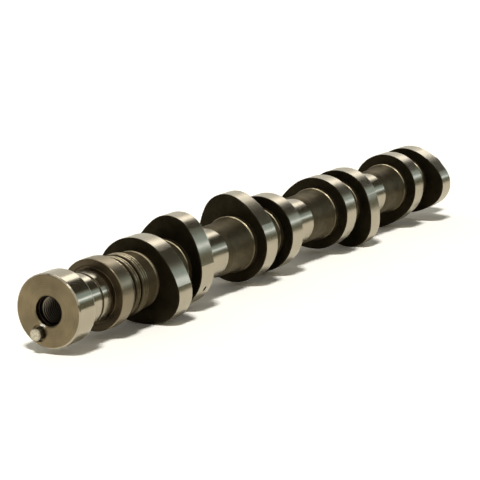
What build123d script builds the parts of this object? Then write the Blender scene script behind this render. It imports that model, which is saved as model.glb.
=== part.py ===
from build123d import *

import os
from math import acos, atan2, cos, degrees, radians, sin, sqrt, tan

# Camshaft of an overhead-cam engine with four cylinders in a row: a one-piece iron casting with a lobe
# pair for each cylinder, and the dowel pin in its nose. Sizes are in millimetres.
#
# Frame: +X runs along the shaft's axis from the nose face, at X = 0, to the rear end, and +Z is up.
# Angles about the axis are in degrees, from +Y towards +Z.

# ---- Driving dimensions ------------------------------------------------------------------------

# Cylinders, and where their lobes stand along the shaft
cylinder_pitch = 100.0
first_lobe_x = 73.6          # front face of the first lobe
lobe_width = 13.2
lobe_spacing = 30.4          # from the first to the second lobe of a pair
lobe_chamfer = 0.4

# Cam form: base circle and nose, joined by two convex flanks
base_circle_radius = 21.5
lobe_lift = 6.3
lobe_nose_radius = 15.0
lobe_flank_radius = 41.0

# Timing: the middle of the first pair, each cylinder's phase from the first, and the angle
# between the two lobes of a pair. One pair is made for each phase.
first_pair_angle = 152.3
cylinder_phases = [0.0, -135.0, 135.0, 90.0]
lobe_separation = 110.0

# Bearing journals, ground
journal_diameter = 26.5
journal_length = 29.8        # behind each lobe pair but the last
rear_journal_length = 25.0
journal_runout_length = 2.8  # taper from a journal's rear end up to the barrel
rear_chamfer = 1.2

# Front journal, between the nose flange and the thrust collar
front_journal_length = 23.0
oil_groove_width = 1.6
oil_groove_depth = 0.9
oil_groove_offset = 12.8     # from the flange's back face to the middle of the groove

# Nose flange, which carries the timing drive
flange_diameter = 36.0
flange_thickness = 13.5
flange_front_chamfer = 0.7
flange_back_chamfer = 1.1

# Thrust collar, with a relief at the root of its front face
collar_diameter = 36.0
collar_thickness = 9.5
collar_chamfer = 0.5
relief_width = 1.45          # outwards from the journal
relief_depth = 0.6

# Barrels between lobes, as cast, each with a rim against the front face of the next lobe
barrel_diameter = 28.4
barrel_rim_height = 1.4      # rim above the barrel
barrel_rim_width = 3.0
neck_rim_height = 0.8        # the rim in front of the first lobe
neck_rim_width = 1.6
barrel_flare_radius = 22.0

# Neck between the collar and the first lobe: a step, then two groups of rough-turned ridges
step_height = 2.6            # above the barrel
step_width = 3.0
ridge_pitch = 1.8
ridge_height = 0.6
ridge_group_offsets = [6.6, 11.6]    # from the collar's back face to each group
ridge_group_heights = [1.5, 1.9]     # crests above the barrel
ridge_group_counts = [2, 3]

# Bolt hole in the nose: a counterbore, then an M14 x 1.5 tapping
thread_diameter = 14.0
thread_length = 24.0
counterbore_clearance = 0.25         # around the thread
counterbore_depth = 3.0
counterbore_chamfer = 0.6
drill_point_angle = 118.0

# Dowel pin beside the bolt hole
dowel_diameter = 6.0
dowel_length = 12.0
dowel_chamfer = 0.5
dowel_circle_radius = 12.5
dowel_angle = -63.7
dowel_protrusion = 3.2
dowel_clearance = 0.01       # around the pin in its hole
dowel_mouth_clearance = 0.9  # around the pin in the hole's relieved mouth
dowel_mouth_depth = 1.6

# Turning centre in the rear end
centre_diameter = 8.0
centre_angle = 60.0
centre_pilot_diameter = 2.5
centre_pilot_length = 4.0

# ---- Values worked out from them ---------------------------------------------------------------

flange_radius = flange_diameter / 2
journal_radius = journal_diameter / 2
collar_radius = collar_diameter / 2
barrel_radius = barrel_diameter / 2
thread_radius = thread_diameter / 2
counterbore_radius = thread_radius + counterbore_clearance
dowel_hole_radius = dowel_diameter / 2 + dowel_clearance
dowel_mouth_radius = dowel_diameter / 2 + dowel_mouth_clearance
dowel_embedment = dowel_length - dowel_protrusion

collar_front_x = flange_thickness + front_journal_length
collar_back_x = collar_front_x + collar_thickness
oil_groove_x = flange_thickness + oil_groove_offset
pair_front_xs = [first_lobe_x + cylinder_pitch * i for i in range(len(cylinder_phases))]
pair_back_offset = lobe_spacing + lobe_width
total_length = pair_front_xs[-1] + pair_back_offset + rear_journal_length

# Cam form: the flank arcs' centres lie off the lobe's middle line, on the far side of each flank
nose_offset = base_circle_radius + lobe_lift - lobe_nose_radius
flank_offset = lobe_flank_radius - base_circle_radius
flank_to_nose = lobe_flank_radius - lobe_nose_radius
flank_bearing = degrees(
    acos((nose_offset**2 + flank_offset**2 - flank_to_nose**2) / (2 * nose_offset * flank_offset))
)
flank_centre_x = flank_offset * cos(radians(flank_bearing))
flank_centre_y = flank_offset * sin(radians(flank_bearing))
base_tangent_angle = 180.0 - flank_bearing
nose_tangent_angle = degrees(atan2(flank_centre_y, nose_offset - flank_centre_x))


def lobe_plane(x, angle):
    """The plane of a lobe's front face, with its own X towards the lobe's nose."""
    nose_direction = (0, cos(radians(angle)), sin(radians(angle)))
    return Plane(origin=(x, 0, 0), x_dir=nose_direction, z_dir=(1, 0, 0))


def all_lobe_planes():
    """The front face planes of every lobe, in order from the nose."""
    planes = []
    for pair_x, phase in zip(pair_front_xs, cylinder_phases):
        pair_angle = first_pair_angle + phase
        planes.append(lobe_plane(pair_x, pair_angle + lobe_separation / 2))
        planes.append(lobe_plane(pair_x + lobe_spacing, pair_angle - lobe_separation / 2))
    return planes


def cylinder_section(x_start, x_end, radius, front_chamfer=0.0, back_chamfer=0.0):
    """Half of a turned cylinder's section, from the axis out."""
    corners = [(x_start, 0)]
    if front_chamfer > 0:
        corners.append((x_start, radius - front_chamfer))
    corners.append((x_start + front_chamfer, radius))
    corners.append((x_end - back_chamfer, radius))
    if back_chamfer > 0:
        corners.append((x_end, radius - back_chamfer))
    corners.append((x_end, 0))
    with BuildLine() as outline:
        Polyline(*corners, close=True)
    make_face(outline.edges())


def flare_section(x_end, rise, flare_radius):
    """Half section of a concave flare that leaves the barrel and stands above it by rise at x_end."""
    length = sqrt(2 * flare_radius * rise - rise**2)
    sweep = degrees(acos((flare_radius - rise) / flare_radius))
    with BuildLine() as outline:
        curve = CenterArc((x_end - length, barrel_radius + flare_radius), flare_radius, 270, sweep)
        Polyline(curve @ 1, (x_end, 0), (x_end - length, 0), curve @ 0)
    make_face(outline.edges())


def barrel_section(x_start, x_end, rim_height=barrel_rim_height, rim_width=barrel_rim_width):
    """Half section of an as-cast barrel that flares to the rim at its end."""
    rim_x = x_end - rim_width
    cylinder_section(x_start, x_end, barrel_radius)
    flare_section(rim_x, rim_height, barrel_flare_radius)
    cylinder_section(rim_x, x_end, barrel_radius + rim_height)


def taper_section(x_start, x_end, start_radius, end_radius):
    """Half section of a cone."""
    with BuildLine() as outline:
        Polyline((x_start, 0), (x_start, start_radius), (x_end, end_radius), (x_end, 0), close=True)
    make_face(outline.edges())


def ridge_section(x_start, count, radius):
    """Half section of a group of turned ridges, each with 45 degree flanks and a flat crest."""
    for i in range(count):
        ridge_x = x_start + i * ridge_pitch
        cylinder_section(ridge_x, ridge_x + ridge_pitch, radius, ridge_height, ridge_height)


# ---- One lobe, on its own front face plane -----------------------------------------------------

with BuildPart() as lobe:
    with BuildSketch(Plane.XY):
        with BuildLine():
            CenterArc((0, 0), base_circle_radius, base_tangent_angle, 360 - 2 * base_tangent_angle)
            CenterArc(
                (flank_centre_x, flank_centre_y),
                lobe_flank_radius,
                -base_tangent_angle,
                base_tangent_angle - nose_tangent_angle,
            )
            CenterArc((nose_offset, 0), lobe_nose_radius, -nose_tangent_angle, 2 * nose_tangent_angle)
            CenterArc(
                (flank_centre_x, -flank_centre_y),
                lobe_flank_radius,
                nose_tangent_angle,
                base_tangent_angle - nose_tangent_angle,
            )
        make_face()
    extrude(amount=lobe_width)
    chamfer(lobe.edges().filter_by(Axis.Z, reverse=True), length=lobe_chamfer)

# ---- Camshaft casting --------------------------------------------------------------------------

with BuildPart() as camshaft:
    # The turned form of the whole shaft, revolved from its half section
    with BuildSketch(Plane.XZ):
        cylinder_section(0, flange_thickness, flange_radius, flange_front_chamfer, flange_back_chamfer)
        cylinder_section(flange_thickness, collar_front_x, journal_radius)
        cylinder_section(collar_front_x, collar_back_x, collar_radius, collar_chamfer, collar_chamfer)
        step_x = collar_back_x + step_width
        cylinder_section(collar_back_x, step_x, barrel_radius + step_height, 0, collar_chamfer)
        barrel_section(collar_back_x, first_lobe_x, neck_rim_height, neck_rim_width)
        for offset, count, height in zip(ridge_group_offsets, ridge_group_counts, ridge_group_heights):
            ridge_section(collar_back_x + offset, count, barrel_radius + height)
        for pair_x in pair_front_xs:
            barrel_section(pair_x + lobe_width, pair_x + lobe_spacing)
            journal_x = pair_x + pair_back_offset
            cylinder_section(pair_x, pair_x + lobe_width, barrel_radius)
            cylinder_section(pair_x + lobe_spacing, journal_x, barrel_radius)
            if pair_x < pair_front_xs[-1]:
                runout_x = journal_x + journal_length
                barrel_x = runout_x + journal_runout_length
                cylinder_section(journal_x, runout_x, journal_radius)
                taper_section(runout_x, barrel_x, journal_radius, barrel_radius)
                barrel_section(barrel_x, pair_x + cylinder_pitch)
            else:
                cylinder_section(journal_x, total_length, journal_radius, 0, rear_chamfer)
    revolve(axis=Axis.X)

    # Oil groove in the front journal, and the relief at the root of the collar
    with BuildSketch(Plane.XZ):
        with Locations((oil_groove_x, journal_radius)):
            Rectangle(oil_groove_width, 2 * oil_groove_depth)
        with Locations((collar_front_x, journal_radius)):
            Rectangle(relief_depth, relief_width, align=(Align.MIN, Align.MIN))
    revolve(axis=Axis.X, mode=Mode.SUBTRACT)

    # Lobes
    with Locations(*[Location(plane) for plane in all_lobe_planes()]):
        add(lobe.part)

    # Bolt hole: chamfered counterbore, tapping drilled at its major diameter, drill point
    thread_end_x = counterbore_depth + thread_length
    drill_point_length = thread_radius / tan(radians(drill_point_angle / 2))
    with BuildSketch(Plane.XZ):
        with BuildLine():
            Polyline(
                (0, 0),
                (0, counterbore_radius + counterbore_chamfer),
                (counterbore_chamfer, counterbore_radius),
                (counterbore_depth, counterbore_radius),
                (counterbore_depth, thread_radius),
                (thread_end_x, thread_radius),
                (thread_end_x + drill_point_length, 0),
                close=True,
            )
        make_face()
    revolve(axis=Axis.X, mode=Mode.SUBTRACT)

    # Turning centre in the rear end
    centre_radius = centre_diameter / 2
    pilot_radius = centre_pilot_diameter / 2
    centre_depth = (centre_radius - pilot_radius) / tan(radians(centre_angle / 2))
    with BuildSketch(Plane.XZ):
        with BuildLine():
            Polyline(
                (total_length, 0),
                (total_length, centre_radius),
                (total_length - centre_depth, pilot_radius),
                (total_length - centre_depth - centre_pilot_length, pilot_radius),
                (total_length - centre_depth - centre_pilot_length, 0),
                close=True,
            )
        make_face()
    revolve(axis=Axis.X, mode=Mode.SUBTRACT)

    # Dowel hole, as deep as the pin goes in, with a relieved mouth
    with Locations(lobe_plane(0, dowel_angle)):
        with Locations((dowel_circle_radius, 0)):
            Cylinder(
                dowel_hole_radius,
                dowel_embedment,
                align=(Align.CENTER, Align.CENTER, Align.MIN),
                mode=Mode.SUBTRACT,
            )
            Cylinder(
                dowel_mouth_radius,
                dowel_mouth_depth,
                align=(Align.CENTER, Align.CENTER, Align.MIN),
                mode=Mode.SUBTRACT,
            )

# ---- Dowel pin ---------------------------------------------------------------------------------

with BuildPart() as dowel_pin:
    with BuildSketch(lobe_plane(-dowel_protrusion, dowel_angle)):
        with Locations((dowel_circle_radius, 0)):
            Circle(dowel_diameter / 2)
    extrude(amount=dowel_length)
    chamfer(dowel_pin.edges().filter_by(GeomType.CIRCLE), length=dowel_chamfer)

# ---- Export ------------------------------------------------------------------------------------

os.makedirs("parts", exist_ok=True)
camshaft.part.label = "camshaft"
export_step(camshaft.part, "parts/camshaft.step")
dowel_pin.part.label = "dowel_pin"
export_step(dowel_pin.part, "parts/dowel_pin.step")
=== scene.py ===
import math

import bpy
from mathutils import Matrix, Vector


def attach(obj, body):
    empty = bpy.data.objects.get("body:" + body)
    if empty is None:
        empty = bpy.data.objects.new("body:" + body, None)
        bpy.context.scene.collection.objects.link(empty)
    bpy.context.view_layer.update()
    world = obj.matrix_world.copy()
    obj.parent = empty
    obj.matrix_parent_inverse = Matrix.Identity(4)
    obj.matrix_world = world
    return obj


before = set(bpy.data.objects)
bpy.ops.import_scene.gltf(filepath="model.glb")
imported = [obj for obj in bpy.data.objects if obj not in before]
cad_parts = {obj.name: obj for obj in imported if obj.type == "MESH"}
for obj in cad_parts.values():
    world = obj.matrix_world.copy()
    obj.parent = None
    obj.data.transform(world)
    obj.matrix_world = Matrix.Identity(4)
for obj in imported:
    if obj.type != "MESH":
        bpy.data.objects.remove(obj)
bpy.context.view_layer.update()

# Camshaft for four cylinders in a row. The frame is the CAD's: metres, with +X along the shaft from the
# nose face and +Z up. The sizes below are in millimetres, and the angles in degrees.
MM = 0.001

# Places along the nose, from its face
FLANGE_BACK_X = 13.5
DARKER_JOURNAL_X = 32.5                # the front journal is coloured darker from here to the collar
COLLAR_FRONT_X = 36.5
COLLAR_BACK_X = 46.0
STEP_BACK_X = 49.0
NECK_RIM_X = 71.4            # edge of the rim before the first lobe, with painted highlight and shade
NECK_RIM_END_X = 72.3
FIRST_LOBE_X = 73.6
REAR_FACE_X = 442.2

# Places along a lobe pair, from its front face. The pairs are a pitch apart.
PITCH = 100.0
LOBE_WIDTH = 13.2
RIM_X = 26.6                 # edge of the rim before the second lobe, with painted highlight and shade
SECOND_LOBE_X = 30.4
GROUND_END_X = 72.6          # the journal behind the second lobe is ground up to here
NEXT_RIM_X = 96.2            # edge of the rim before the next pair, with painted highlight and shade

# Widths of the bands along edges: painted highlights on the rims and on the flange's back, and the painted
# shade in the corner behind the flange
RIM_HIGHLIGHT_WIDTH = 1.1
FLANGE_HIGHLIGHT_WIDTH = 1.6
CORNER_SHADE_WIDTH = 0.9

NUDGE = 0.01                 # moves a boundary clear of the face that stands on it

# Bolt hole: a radius just outside its chamfer, and a depth just past its drill point
BORE_RADIUS = 7.9
BORE_DEPTH = 32.0
CHAMFER_DEPTH = 0.6

# Thread in the bolt hole
THREAD_START_X = 3.0
THREAD_END_X = 27.0
THREAD_ROOT_RADIUS = 7.05
THREAD_CREST_RADIUS = 6.19
THREAD_PITCH = 1.5
THREAD_HALF_WIDTH = 0.66
CREST_HALF_WIDTH = 0.1
STEPS_A_TURN = 48


def srgb(text, alpha=1.0):
    """A linear RGBA colour from a hex code as a screen shows it."""
    channels = [int(text[i:i + 2], 16) / 255 for i in (1, 3, 5)]
    return (*[c / 12.92 if c <= 0.04045 else ((c + 0.055) / 1.055) ** 2.4 for c in channels], alpha)


def grey(value):
    """A ramp colour that carries a plain number."""
    return (value, value, value, 1.0)


def node(tree, kind, inputs=None, stops=(), **settings):
    """Adds a node. An input is a constant or the socket that feeds it. Stops are a ramp's places and
    colours, each held up to the next. A Mix node's inputs are 0 for its factor, 2 and 3 for the numbers
    and 6 and 7 for the colours that it mixes, and its colour comes out of output 2."""
    new = tree.nodes.new(kind)
    for name, value in settings.items():
        setattr(new, name, value)
    if stops:
        new.color_ramp.interpolation = "CONSTANT"
    for i, (position, colour) in enumerate(stops):
        elements = new.color_ramp.elements
        stop = elements[i] if i < 2 else elements.new(position)
        stop.position, stop.color = position, colour
    for key, value in (inputs or {}).items():
        if isinstance(value, bpy.types.NodeSocket):
            tree.links.new(value, new.inputs[key])
        else:
            new.inputs[key].default_value = value
    return new


def new_material(name):
    """An empty node material and its tree."""
    material = bpy.data.materials.new(name)
    material.use_nodes = True
    material.node_tree.nodes.clear()
    return material, material.node_tree


def new_object(name, verts, faces, material):
    """A mesh object of one material, in the scene."""
    mesh = bpy.data.meshes.new(name)
    mesh.from_pydata(verts, [], faces)
    mesh.materials.append(material)
    made = bpy.data.objects.new(name, mesh)
    bpy.context.scene.collection.objects.link(made)
    return made


# ---- Camshaft: chilled iron, as cast between the parts that are ground or turned -----------------
#
# Ground iron is pale and mirrors its surroundings in long bands that its fine tool lines soften. Turned
# faces are browner and duller, with rings round the axis. The skin of the casting is a dull olive brown,
# grainy and stained with oil.

# The finish of each zone: where it starts, its colour and its roughness. The colour's alpha says how much
# of the casting's skin is left, and a value of its own marks an edge that gets painted light further down.
MACHINED, HIGHLIT_EDGE, ROUGH_TURNED, AS_CAST = 0.0, 0.3, 0.5, 1.0
HIGHLIT_EDGE_TOLERANCE = 0.1
GROUND, DARKER_GROUND, COLLAR = [srgb(text, MACHINED) for text in ("#b8b1a1", "#8a7e68", "#978d79")]
# A pale band painted on the flange's back edge as a highlight, and a dark line painted in the corner
# behind the flange as shade
FLANGE_HIGHLIGHT, CORNER_SHADE = srgb("#d6cfbf", MACHINED), srgb("#5f5748", MACHINED)
RIM_HIGHLIGHT = (0.0, 0.0, 0.0, HIGHLIT_EDGE)         # its colour is painted light, set further down by the way it faces
NECK = srgb("#615643", ROUGH_TURNED)
BARREL, RIM = srgb("#5d5544", AS_CAST), srgb("#4b4131", AS_CAST)
NOSE_ZONES = [
    (0.0, GROUND, 0.16),
    (FLANGE_BACK_X - FLANGE_HIGHLIGHT_WIDTH, FLANGE_HIGHLIGHT, 0.42),
    (FLANGE_BACK_X + NUDGE, CORNER_SHADE, 0.42),
    (FLANGE_BACK_X + CORNER_SHADE_WIDTH, GROUND, 0.18),
    (DARKER_JOURNAL_X, DARKER_GROUND, 0.18),
    (COLLAR_FRONT_X, COLLAR, 0.36),
    (COLLAR_BACK_X + NUDGE, NECK, 0.6),
    (NECK_RIM_X, RIM_HIGHLIGHT, 0.6),
    (NECK_RIM_END_X, NECK, 0.6)]
PAIR_ZONES = [
    (0.0, GROUND, 0.24),
    (LOBE_WIDTH, BARREL, 0.54),
    (RIM_X, RIM_HIGHLIGHT, 0.25),
    (RIM_X + RIM_HIGHLIGHT_WIDTH, RIM, 0.54),
    (SECOND_LOBE_X, GROUND, 0.24),
    (GROUND_END_X, BARREL, 0.54),
    (NEXT_RIM_X, RIM_HIGHLIGHT, 0.25),
    (NEXT_RIM_X + RIM_HIGHLIGHT_WIDTH, RIM, 0.54)]

# Step and ridges behind the collar: where each starts and ends, and the radius above which its crests get
# the painted edge light, fully so from CREST_FADE higher
CRESTS = [(COLLAR_BACK_X + NUDGE, STEP_BACK_X, 16.55), (52.6, 56.2, 15.4), (57.6, 63.0, 15.8)]
CREST_FADE = 0.25
BEYOND_RADIUS = 40.0         # a radius that nothing reaches

# Painted shade and painted highlight for edges and crests, chosen by how far up they face
PAINTED_EDGE_SHADE, PAINTED_EDGE_HIGHLIGHT = srgb("#645d4c"), srgb("#dfd3b6")
TURNED, TURNED_BEHIND = srgb("#887c64"), srgb("#5f5648")
# The lobe sides' own near-black, and a dark colour painted into the bolt hole's bore as shade
LOBE_SIDE, BORE_SHADE = srgb("#302b20"), srgb("#3a332b")
# A near-white painted glint, and the near-black of a casting pore
PAINTED_GLINT, PORE = srgb("#fffaf0"), srgb("#120d08")
CREST_ROUGHNESS, TURNED_ROUGHNESS, LOBE_SIDE_ROUGHNESS = 0.3, 0.33, 0.45
GLINT_ROUGHNESS, PORE_ROUGHNESS = 0.12, 0.7
TURNED_FACING, LOBE_SIDE_FACING = 0.8, 0.6   # least X of such a face's normal
REAR_CLEARANCE = 2.0         # keeps the rear end's face out of the lobe sides

# Sizes of the patterns. Real tool lines and cast grain are finer still, and are drawn coarse to show.
TOOL_LINE, STAIN, GRAIN, OIL_PATCH, DIRT_SPOT = 0.5, 9.0, 0.5, 5.0, 1.5
GRAIN_DEPTH = 0.12
EDGE_ROUNDING = 0.5

material, tree = new_material("iron_cast_and_ground")
place = node(tree, "ShaderNodeTexCoord")
coords = node(tree, "ShaderNodeVectorMath", {0: place.outputs["Object"], "Scale": 1 / MM},
              operation="SCALE")
xyz = node(tree, "ShaderNodeSeparateXYZ", {0: coords.outputs["Vector"]})
across = node(tree, "ShaderNodeCombineXYZ", {"Y": xyz.outputs["Y"], "Z": xyz.outputs["Z"]})
radius = node(tree, "ShaderNodeVectorMath", {0: across.outputs["Vector"]}, operation="LENGTH")
facing = node(tree, "ShaderNodeSeparateXYZ", {0: place.outputs["Normal"]})
end_on = node(tree, "ShaderNodeMath", {0: facing.outputs["X"]}, operation="ABSOLUTE")

# How far along its lobe pair a point is, and how far along the nose, each as a share of the pitch
pair_x = node(tree, "ShaderNodeMath", {0: xyz.outputs["X"], 1: FIRST_LOBE_X - NUDGE},
              operation="SUBTRACT")
pair_x = node(tree, "ShaderNodeMath", {0: pair_x.outputs[0], 1: PITCH}, operation="FLOORED_MODULO")
pair_x = node(tree, "ShaderNodeMath", {0: pair_x.outputs[0], 1: PITCH}, operation="DIVIDE")
nose_x = node(tree, "ShaderNodeMath", {0: xyz.outputs["X"], 1: PITCH}, operation="DIVIDE")
behind = node(tree, "ShaderNodeMath", {0: xyz.outputs["X"], 1: FIRST_LOBE_X - NUDGE},
              operation="GREATER_THAN")

# Colour, skin and roughness by zone
pair_colour = node(tree, "ShaderNodeValToRGB", {"Fac": pair_x.outputs[0]},
                   stops=[(x / PITCH, shade) for x, shade, _ in PAIR_ZONES])
nose_colour = node(tree, "ShaderNodeValToRGB", {"Fac": nose_x.outputs[0]},
                   stops=[(x / PITCH, shade) for x, shade, _ in NOSE_ZONES])
colour = node(tree, "ShaderNodeMix", {0: behind.outputs[0], 6: nose_colour.outputs["Color"],
                                      7: pair_colour.outputs["Color"]}, data_type="RGBA")
cast = node(tree, "ShaderNodeMix", {0: behind.outputs[0], 2: nose_colour.outputs["Alpha"],
                                    3: pair_colour.outputs["Alpha"]})
pair_rough = node(tree, "ShaderNodeValToRGB", {"Fac": pair_x.outputs[0]},
                  stops=[(x / PITCH, grey(roughness)) for x, _, roughness in PAIR_ZONES])
nose_rough = node(tree, "ShaderNodeValToRGB", {"Fac": nose_x.outputs[0]},
                  stops=[(x / PITCH, grey(roughness)) for x, _, roughness in NOSE_ZONES])
rough = node(tree, "ShaderNodeMix", {0: behind.outputs[0], 2: nose_rough.outputs["Color"],
                                     3: pair_rough.outputs["Color"]})

# A marked edge gets painted light: a painted highlight where it faces up, painted shade where it faces
# down
rim_highlight = node(tree, "ShaderNodeMath", {0: cast.outputs[0], 1: HIGHLIT_EDGE, 2: HIGHLIT_EDGE_TOLERANCE},
                operation="COMPARE")
painted_light_by_facing = node(tree, "ShaderNodeMapRange", {"Value": facing.outputs["Z"], "From Min": 0.25,
                                            "From Max": 0.8})
painted_edge_light = node(tree, "ShaderNodeMix", {0: painted_light_by_facing.outputs[0], 6: PAINTED_EDGE_SHADE, 7: PAINTED_EDGE_HIGHLIGHT},
                 data_type="RGBA")
colour = node(tree, "ShaderNodeMix", {0: rim_highlight.outputs[0], 6: colour.outputs[2],
                                      7: painted_edge_light.outputs[2]}, data_type="RGBA")

# The crests of the step and the ridges get the same painted highlight above and painted shade below,
# broken up by spots of dirt
crest_stops = [(0.0, BEYOND_RADIUS)]
for start_x, end_x, crest_from in CRESTS:
    crest_stops += [(start_x, crest_from), (end_x, BEYOND_RADIUS)]
crest = node(tree, "ShaderNodeValToRGB", {"Fac": nose_x.outputs[0]},
             stops=[(x / PITCH, grey(r / BEYOND_RADIUS)) for x, r in crest_stops])
crest_radius = node(tree, "ShaderNodeMath", {0: crest.outputs["Color"], 1: BEYOND_RADIUS},
                    operation="MULTIPLY")
above = node(tree, "ShaderNodeMath", {0: radius.outputs["Value"], 1: crest_radius.outputs[0]},
             operation="SUBTRACT")
crests = node(tree, "ShaderNodeMapRange", {"Value": above.outputs[0], "From Min": 0.0,
                                           "From Max": CREST_FADE})
dirt = node(tree, "ShaderNodeTexNoise", {"Vector": coords.outputs["Vector"], "Scale": 1 / DIRT_SPOT,
                                         "Detail": 3.0, "Roughness": 0.6})
clean = node(tree, "ShaderNodeMapRange", {"Value": dirt.outputs["Fac"], "From Min": 0.37,
                                          "From Max": 0.47, "To Min": 0.25, "To Max": 1.0})
crests = node(tree, "ShaderNodeMath", {0: crests.outputs[0], 1: clean.outputs[0]}, operation="MULTIPLY")
colour = node(tree, "ShaderNodeMix", {0: crests.outputs[0], 6: colour.outputs[2],
                                      7: painted_edge_light.outputs[2]}, data_type="RGBA")
rough = node(tree, "ShaderNodeMix", {0: crests.outputs[0], 2: rough.outputs[0], 3: CREST_ROUGHNESS})
cast = node(tree, "ShaderNodeMix", {0: crests.outputs[0], 2: cast.outputs[0], 3: MACHINED})

# Turned end faces, brown-grey on the nose and darker from the collar on, with the bolt hole's mouth
turned_face = node(tree, "ShaderNodeMath", {0: end_on.outputs[0], 1: TURNED_FACING},
                   operation="GREATER_THAN")
mouth = node(tree, "ShaderNodeMath", {0: radius.outputs["Value"], 1: BORE_RADIUS}, operation="LESS_THAN")
turned_face = node(tree, "ShaderNodeMath", {0: turned_face.outputs[0], 1: mouth.outputs[0]},
                   operation="MAXIMUM")
past_journal = node(tree, "ShaderNodeMath", {0: xyz.outputs["X"], 1: DARKER_JOURNAL_X}, operation="GREATER_THAN")
turned = node(tree, "ShaderNodeMix", {0: past_journal.outputs[0], 6: TURNED, 7: TURNED_BEHIND},
              data_type="RGBA")
colour = node(tree, "ShaderNodeMix", {0: turned_face.outputs[0], 6: colour.outputs[2],
                                      7: turned.outputs[2]}, data_type="RGBA")
rough = node(tree, "ShaderNodeMix", {0: turned_face.outputs[0], 2: rough.outputs[0], 3: TURNED_ROUGHNESS})

# Sides of the lobes: cast skin, nearly black with oil. The rear end's face is not one of them.
flat = node(tree, "ShaderNodeMath", {0: end_on.outputs[0], 1: LOBE_SIDE_FACING}, operation="GREATER_THAN")
before_end = node(tree, "ShaderNodeMath", {0: xyz.outputs["X"], 1: REAR_FACE_X - REAR_CLEARANCE},
                  operation="LESS_THAN")
lobe_side = node(tree, "ShaderNodeMath", {0: flat.outputs[0], 1: behind.outputs[0]}, operation="MULTIPLY")
lobe_side = node(tree, "ShaderNodeMath", {0: lobe_side.outputs[0], 1: before_end.outputs[0]},
                 operation="MULTIPLY")
colour = node(tree, "ShaderNodeMix", {0: lobe_side.outputs[0], 6: colour.outputs[2], 7: LOBE_SIDE},
              data_type="RGBA")
rough = node(tree, "ShaderNodeMix", {0: lobe_side.outputs[0], 2: rough.outputs[0],
                                     3: LOBE_SIDE_ROUGHNESS})
cast = node(tree, "ShaderNodeMath", {0: cast.outputs[0], 1: lobe_side.outputs[0]}, operation="MAXIMUM")

# Bore of the bolt hole, coloured dark all over as painted shade in the hole
near_nose = node(tree, "ShaderNodeMath", {0: xyz.outputs["X"], 1: BORE_DEPTH}, operation="LESS_THAN")
in_bore = node(tree, "ShaderNodeMath", {0: mouth.outputs[0], 1: near_nose.outputs[0]},
               operation="MULTIPLY")
inward = node(tree, "ShaderNodeMath", {0: xyz.outputs["X"], 1: CHAMFER_DEPTH}, operation="GREATER_THAN")
in_bore = node(tree, "ShaderNodeMath", {0: in_bore.outputs[0], 1: inward.outputs[0]}, operation="MULTIPLY")
colour = node(tree, "ShaderNodeMix", {0: in_bore.outputs[0], 6: colour.outputs[2], 7: BORE_SHADE},
              data_type="RGBA")

# A painted glint on the land between the bolt hole and the dowel: a near-white, glossy spot 2.2 mm by 3.2
# mm
GLINT_PLACE, GLINT_TURN, GLINT_HALF_SIZES = (0.0, 3.2, -7.4), -63.7, (1.0, 1.1, 1.6)
glint_spot = node(tree, "ShaderNodeMapping", {
    "Vector": coords.outputs["Vector"], "Location": GLINT_PLACE,
    "Rotation": (math.radians(GLINT_TURN), 0, 0), "Scale": GLINT_HALF_SIZES}, vector_type="TEXTURE")
glint_spot = node(tree, "ShaderNodeVectorMath", {0: glint_spot.outputs["Vector"]}, operation="LENGTH")
glint_spot = node(tree, "ShaderNodeMapRange", {"Value": glint_spot.outputs["Value"], "From Min": 1.1,
                                           "From Max": 0.8})
colour = node(tree, "ShaderNodeMix", {0: glint_spot.outputs[0], 6: colour.outputs[2], 7: PAINTED_GLINT},
              data_type="RGBA")
rough = node(tree, "ShaderNodeMix", {0: glint_spot.outputs[0], 2: rough.outputs[0], 3: GLINT_ROUGHNESS})

# One casting pore on the second lobe, slanted to the axis, 2.5 mm by 3.2 mm
PORE_PLACE, PORE_SLANT, PORE_HALF_SIZES = (111.1, -18.96, -10.15), 25, (1.25, 1.6, 1.5)
along, outward = Vector((1, 0, 0)), Vector((0, *PORE_PLACE[1:])).normalized()
slant = math.radians(PORE_SLANT)
long_axis = outward.cross(along) * math.cos(slant) + along * math.sin(slant)
short_axis = long_axis.cross(outward)
pore_turn = Matrix((short_axis, long_axis, outward)).transposed().to_euler()
pore = node(tree, "ShaderNodeMapping", {
    "Vector": coords.outputs["Vector"], "Location": PORE_PLACE, "Rotation": pore_turn,
    "Scale": PORE_HALF_SIZES}, vector_type="TEXTURE")
pore = node(tree, "ShaderNodeVectorMath", {0: pore.outputs["Vector"]}, operation="LENGTH")
pore = node(tree, "ShaderNodeMapRange", {"Value": pore.outputs["Value"], "From Min": 1.1,
                                         "From Max": 0.9})
colour = node(tree, "ShaderNodeMix", {0: pore.outputs[0], 6: colour.outputs[2], 7: PORE},
              data_type="RGBA")
rough = node(tree, "ShaderNodeMix", {0: pore.outputs[0], 2: rough.outputs[0], 3: PORE_ROUGHNESS})

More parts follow.
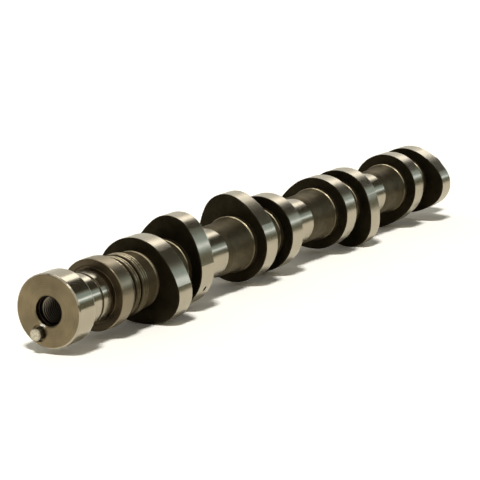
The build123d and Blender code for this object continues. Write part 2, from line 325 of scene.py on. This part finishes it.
# Tool lines run round the axis, and stains drift over the machined faces. The cast skin has grain and
# larger patches of oil. They shade the colour and make the gloss a little uneven.
lathe = node(tree, "ShaderNodeCombineXYZ", {"X": xyz.outputs["X"], "Y": radius.outputs["Value"]})
lines = node(tree, "ShaderNodeTexNoise", {"Vector": lathe.outputs["Vector"], "Scale": 1 / TOOL_LINE,
                                          "Detail": 4.0, "Roughness": 0.7})
drift = node(tree, "ShaderNodeTexNoise", {"Vector": coords.outputs["Vector"], "Scale": 1 / STAIN,
                                          "Detail": 2.0})
grain = node(tree, "ShaderNodeTexNoise", {"Vector": coords.outputs["Vector"], "Scale": 1 / GRAIN,
                                          "Detail": 3.0, "Roughness": 0.6})
patches = node(tree, "ShaderNodeTexNoise", {"Vector": coords.outputs["Vector"], "Scale": 1 / OIL_PATCH,
                                            "Detail": 5.0, "Roughness": 0.65})
tooled = node(tree, "ShaderNodeMix", {0: 0.5, 2: lines.outputs["Fac"], 3: drift.outputs["Fac"]})
tint_tooled = node(tree, "ShaderNodeMapRange", {"Value": tooled.outputs[0], "From Min": 0.3,
                                                "From Max": 0.7, "To Min": 0.93, "To Max": 1.07})
tint_cast = node(tree, "ShaderNodeMapRange", {"Value": patches.outputs["Fac"], "From Min": 0.3,
                                              "From Max": 0.7, "To Min": 0.74, "To Max": 1.26})
tint_turned = node(tree, "ShaderNodeMapRange", {"Value": tooled.outputs[0], "From Min": 0.35,
                                                "From Max": 0.65, "To Min": 0.72, "To Max": 1.22})
tint = node(tree, "ShaderNodeMix", {0: turned_face.outputs[0], 2: tint_tooled.outputs[0],
                                    3: tint_turned.outputs[0]})
tint = node(tree, "ShaderNodeMix", {0: cast.outputs[0], 2: tint.outputs[0], 3: tint_cast.outputs[0]})
colour = node(tree, "ShaderNodeVectorMath", {0: colour.outputs[2], "Scale": tint.outputs[0]},
              operation="SCALE")
uneven = node(tree, "ShaderNodeMix", {0: cast.outputs[0], 2: lines.outputs["Fac"],
                                      3: grain.outputs["Fac"]})
uneven = node(tree, "ShaderNodeMapRange", {"Value": uneven.outputs[0], "From Min": 0.3,
                                           "From Max": 0.7, "To Min": 0.93, "To Max": 1.07})
rough = node(tree, "ShaderNodeMath", {0: rough.outputs[0], 1: uneven.outputs[0]}, operation="MULTIPLY")

# Corners are rounded, a rim's edge leans towards the nose, and the cast skin stands up in grains. The
# gloss is stretched across the tool lines.
edges = node(tree, "ShaderNodeBevel", {"Radius": EDGE_ROUNDING * MM}, samples=6)
lean = node(tree, "ShaderNodeCombineXYZ", {"X": rim_highlight.outputs[0]})
lean = node(tree, "ShaderNodeVectorTransform", {0: lean.outputs["Vector"]}, vector_type="VECTOR",
            convert_from="OBJECT", convert_to="WORLD")
leaned = node(tree, "ShaderNodeVectorMath", {0: edges.outputs[0], 1: lean.outputs["Vector"]},
              operation="SUBTRACT")
leaned = node(tree, "ShaderNodeVectorMath", {0: leaned.outputs["Vector"]}, operation="NORMALIZE")
height = node(tree, "ShaderNodeMath", {0: cast.outputs[0], 1: grain.outputs["Fac"]}, operation="MULTIPLY")
bump = node(tree, "ShaderNodeBump", {"Height": height.outputs[0], "Strength": 0.6,
                                     "Distance": GRAIN_DEPTH * MM, "Normal": leaned.outputs["Vector"]})
tangent = node(tree, "ShaderNodeTangent", direction_type="RADIAL", axis="X")
shader = node(tree, "ShaderNodeBsdfPrincipled", {
    "Base Color": colour.outputs["Vector"], "Metallic": 1.0, "Roughness": rough.outputs[0],
    "Normal": bump.outputs[0], "Anisotropic": 0.6, "Anisotropic Rotation": 0.25,
    "Tangent": tangent.outputs[0]})
node(tree, "ShaderNodeOutputMaterial", {"Surface": shader.outputs[0]})
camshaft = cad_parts["camshaft"]
camshaft.material_slots[0].material = material

# ---- Dowel pin: hardened steel ------------------------------------------------------------------
#
# Its side is painted a darker satin brown-grey as shade, and its end is painted pale as a highlight,
# mottled with oxide
MOTTLE = 1.1
PIN_SIDE_SHADE, PIN_END_DARK, PIN_END_HIGHLIGHT = srgb("#6f6656"), srgb("#8f8872"), srgb("#fffaec")

material, tree = new_material("steel_dowel_mottled")
place = node(tree, "ShaderNodeTexCoord")
mottle = node(tree, "ShaderNodeTexNoise", {"Vector": place.outputs["Object"], "Scale": 1 / (MOTTLE * MM),
                                           "Detail": 3.0})
facing = node(tree, "ShaderNodeSeparateXYZ", {0: place.outputs["Normal"]})
end = node(tree, "ShaderNodeMapRange", {"Value": facing.outputs["X"], "From Min": -0.5,
                                        "From Max": -0.9})
end_colour = node(tree, "ShaderNodeMix", {0: mottle.outputs["Fac"], 6: PIN_END_DARK, 7: PIN_END_HIGHLIGHT},
                  data_type="RGBA")
colour = node(tree, "ShaderNodeMix", {0: end.outputs[0], 6: PIN_SIDE_SHADE, 7: end_colour.outputs[2]},
              data_type="RGBA")
shader = node(tree, "ShaderNodeBsdfPrincipled", {"Base Color": colour.outputs[2], "Metallic": 1.0,
                                                 "Roughness": 0.38})
node(tree, "ShaderNodeOutputMaterial", {"Surface": shader.outputs[0]})
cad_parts["dowel_pin"].material_slots[0].material = material

# ---- Thread in the bolt hole: iron, cut with a tap ----------------------------------------------
#
# The crests shine where the tap tore them; the roots are painted black as shade, and the turns are painted
# darker lower down and deeper in the hole, as shade
TEAR = 0.4
CREST_DARK, CREST_PALE, ROOT_SHADE = srgb("#8d8376"), srgb("#cfc4b4"), srgb("#15110d")
GROOVE_TOP_RADIUS, GROOVE_DARK_RADIUS = 6.25, 6.6
DEPTH_SHADE_FROM, DEPTH_SHADE_TO = -12, -1   # height less depth in the hole, from painted black shade to unshaded

material, tree = new_material("iron_thread_cut")
place = node(tree, "ShaderNodeTexCoord")
tears = node(tree, "ShaderNodeTexNoise", {"Vector": place.outputs["Object"], "Scale": 1 / (TEAR * MM)})
crest_colour = node(tree, "ShaderNodeMix", {0: tears.outputs["Fac"], 6: CREST_DARK, 7: CREST_PALE},
                    data_type="RGBA")
xyz = node(tree, "ShaderNodeSeparateXYZ", {0: place.outputs["Object"]})
across = node(tree, "ShaderNodeCombineXYZ", {"Y": xyz.outputs["Y"], "Z": xyz.outputs["Z"]})
radius = node(tree, "ShaderNodeVectorMath", {0: across.outputs["Vector"]}, operation="LENGTH")
# Painted shade in the roots: black towards the root radius
groove = node(tree, "ShaderNodeMapRange", {"Value": radius.outputs["Value"],
                                           "From Min": GROOVE_TOP_RADIUS * MM,
                                           "From Max": GROOVE_DARK_RADIUS * MM})
colour = node(tree, "ShaderNodeMix", {0: groove.outputs[0], 6: crest_colour.outputs[2], 7: ROOT_SHADE},
              data_type="RGBA")
# Painted shade: darker lower down and deeper in the hole
height_less_depth = node(tree, "ShaderNodeMath", {0: xyz.outputs["Z"], 1: xyz.outputs["X"]}, operation="SUBTRACT")
depth_shade = node(tree, "ShaderNodeMapRange", {"Value": height_less_depth.outputs[0], "From Min": DEPTH_SHADE_FROM * MM,
                                        "From Max": DEPTH_SHADE_TO * MM, "To Min": 0.12, "To Max": 1.0})
colour = node(tree, "ShaderNodeVectorMath", {0: colour.outputs[2], "Scale": depth_shade.outputs[0]},
              operation="SCALE")
shader = node(tree, "ShaderNodeBsdfPrincipled", {"Base Color": colour.outputs["Vector"], "Metallic": 1.0,
                                                 "Roughness": 0.35})
node(tree, "ShaderNodeOutputMaterial", {"Surface": shader.outputs[0]})

# A helical ridge on the plain bore, which runs out over its first and last turn
steps = int(((THREAD_END_X - THREAD_START_X) / THREAD_PITCH - 1) * STEPS_A_TURN)
profile = [(-THREAD_HALF_WIDTH, THREAD_ROOT_RADIUS), (-CREST_HALF_WIDTH, THREAD_CREST_RADIUS),
           (CREST_HALF_WIDTH, THREAD_CREST_RADIUS), (THREAD_HALF_WIDTH, THREAD_ROOT_RADIUS)]
corners = len(profile)
verts, faces = [], []
for step in range(steps + 1):
    angle = 2 * math.pi * step / STEPS_A_TURN
    centre_x = THREAD_START_X + THREAD_PITCH * (0.5 + step / STEPS_A_TURN)
    runout = min(1.0, step / STEPS_A_TURN, (steps - step) / STEPS_A_TURN)
    for offset, r in profile:
        r = THREAD_ROOT_RADIUS - (THREAD_ROOT_RADIUS - r) * runout
        verts.append(Vector((centre_x + offset, r * math.cos(angle), r * math.sin(angle))) * MM)
for step in range(steps):
    for side in range(corners - 1):
        a = corners * step + side
        faces.append((a, a + 1, a + corners + 1, a + corners))
thread = new_object("bolt_hole_thread", verts, faces, material)
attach(thread, "root")

# ---- Stage: the floor the lobes rest on, the cards that the iron reflects, light and camera ------

# In metres, as the floor and the cards are
SHAFT_MIDDLE_X = 0.22
FLOOR_RADIUS, FLOOR_SIDES = 12, 64

# White paper, dull and even. Where it is seen it is a little brighter than white, so that lit paper
# comes out white and a shadow still shows.
PAPER, PAPER_SEEN = srgb("#f9f7ef"), (1.2, 1.21, 1.22, 1.0)
material, tree = new_material("floor_paper")
path = node(tree, "ShaderNodeLightPath")
paper = node(tree, "ShaderNodeMix", {0: path.outputs["Is Camera Ray"], 6: PAPER, 7: PAPER_SEEN},
             data_type="RGBA")
shader = node(tree, "ShaderNodeBsdfDiffuse", {"Color": paper.outputs[2]})
node(tree, "ShaderNodeOutputMaterial", {"Surface": shader.outputs[0]})

# The floor touches three lobes, so it is tilted a little and lies against the lowest point that way
floor_up = Vector((0.01424, 0.01841, 0.99973)).normalized()
lowest = min(v.co.dot(floor_up) for v in camshaft.data.vertices)
angles = [2 * math.pi * i / FLOOR_SIDES for i in range(FLOOR_SIDES)]
ring = [Vector((FLOOR_RADIUS * math.cos(a), FLOOR_RADIUS * math.sin(a), 0)) for a in angles]
floor = new_object("floor", ring, [tuple(range(FLOOR_SIDES))], material)
turn = Vector((0, 0, 1)).rotation_difference(floor_up).to_matrix().to_4x4()
floor.matrix_world = Matrix.Translation(Vector((SHAFT_MIDDLE_X, 0, 0))) @ turn
floor.location += floor_up * (lowest - floor.location.dot(floor_up))

CARD_STEPS = 12              # flat strips that make up a card's curve


def card(name, distance, around, along, colour, strength=1.0):
    """A long curved card that only reflections see, with its distance from the shaft's axis, its angles
    round the axis from the left over the top, and its reach along it from the shaft's middle."""
    verts = []
    for i in range(CARD_STEPS + 1):
        angle = math.radians(around[0] + (around[1] - around[0]) * i / CARD_STEPS)
        for x in along:
            verts.append((SHAFT_MIDDLE_X + x, distance * math.cos(angle), distance * math.sin(angle)))
    faces = [(2 * i, 2 * i + 1, 2 * i + 3, 2 * i + 2) for i in range(CARD_STEPS)]
    material, tree = new_material(name)
    glow = node(tree, "ShaderNodeEmission", {"Color": srgb(colour), "Strength": strength})
    node(tree, "ShaderNodeOutputMaterial", {"Surface": glow.outputs[0]})
    obj = new_object(name, verts, faces, material)
    obj.visible_camera = obj.visible_diffuse = obj.visible_shadow = False


# Walls of a tunnel of cards, from the left over the top to the right, and the boxes in front of them. The
# low card close by on the right is a painted reflection of shade: the lower flanks mirror its dull colour
# and not a bright floor.
card("wall_white", 3.0, (-1, 66), (-11, 11), "#e2dfd4")
card("wall_dark", 3.0, (66, 135), (-11, 11), "#3d3a2f")
card("wall_right", 3.0, (135, 181), (-11, 11), "#7f7f70")
card("low_shade_card", 0.2, (168, 185.9), (-0.8, 1.2), "#6b6955")
card("strip_box", 2.9, (67, 89), (-0.8, 11), "#fffaf0", 2.4)
card("window", 2.9, (140, 167), (-0.8, 11), "#a9bab8")
card("window_bar", 2.8, (155, 161), (-0.8, 11), "#f0faff", 1.8)

# The same ahead of the nose, where the faces that lean forward look
card("wall_front_left", 2.9, (-1, 62), (-11, -0.8), "#56524a")
card("wall_front", 2.9, (62, 181), (-11, -0.8), "#dcd8ca")
card("key_box", 2.7, (107, 121), (-1.9, -1.1), "#fffcf4", 4.0)

# The world lights the shaft softly from all round, and shows as white itself
world = bpy.data.worlds.new("studio")
bpy.context.scene.world = world
world.use_nodes = True
tree = world.node_tree
tree.nodes.clear()
path = node(tree, "ShaderNodeLightPath")
seen = node(tree, "ShaderNodeMath", {0: path.outputs["Is Camera Ray"], 1: path.outputs["Is Glossy Ray"]},
            operation="MAXIMUM")
seen = node(tree, "ShaderNodeMath", {0: seen.outputs[0], 1: path.outputs["Is Transmission Ray"]},
            operation="MAXIMUM")
light = node(tree, "ShaderNodeBackground", {"Color": srgb("#fdf8e6"), "Strength": 0.22})
backdrop = node(tree, "ShaderNodeBackground", {"Color": srgb("#ffffff"), "Strength": 1.0})
mixed = node(tree, "ShaderNodeMixShader", {0: seen.outputs[0], 1: light.outputs[0],
                                           2: backdrop.outputs[0]})
node(tree, "ShaderNodeOutputWorld", {"Surface": mixed.outputs[0]})

# The key light comes over the camera's left shoulder, and a broad window lights from the left
LAMPS = [                    # name, azimuth, elevation, spread and energy
    ("key_light", 202, 60, 10, 2.62),
    ("left_window", 75, 35, 60, 0.3)]
for name, azimuth, elevation, spread, energy in LAMPS:
    sun = bpy.data.lights.new(name, "SUN")
    sun.energy = energy
    sun.angle = math.radians(spread)
    sun.color = srgb("#fffaf0")[:3]
    lamp = bpy.data.objects.new(name, sun)
    bpy.context.scene.collection.objects.link(lamp)
    a, e = math.radians(azimuth), math.radians(elevation)
    away = Vector((math.cos(e) * math.cos(a), math.cos(e) * math.sin(a), math.sin(e)))
    lamp.rotation_euler = away.to_track_quat("Z", "Y").to_euler()
    lamp.visible_glossy = False

# Camera: a long lens, low and close in front of the nose and to its right
CAMERA_PLACE = (-647.59, -461.41, 198.56)
CAMERA_DOWN, CAMERA_HEADING = 11.78, 29.07
camera = bpy.data.cameras.new("camera")
camera.lens = 132.26
camera.sensor_width = 36.0
camera.clip_end = 100.0
camera_object = bpy.data.objects.new("camera", camera)
bpy.context.scene.collection.objects.link(camera_object)
camera_object.location = Vector(CAMERA_PLACE) * MM
camera_object.rotation_euler = (math.radians(90 - CAMERA_DOWN), 0, math.radians(CAMERA_HEADING - 90))
bpy.context.scene.camera = camera_object
bpy.context.scene.view_settings.view_transform = "Standard"
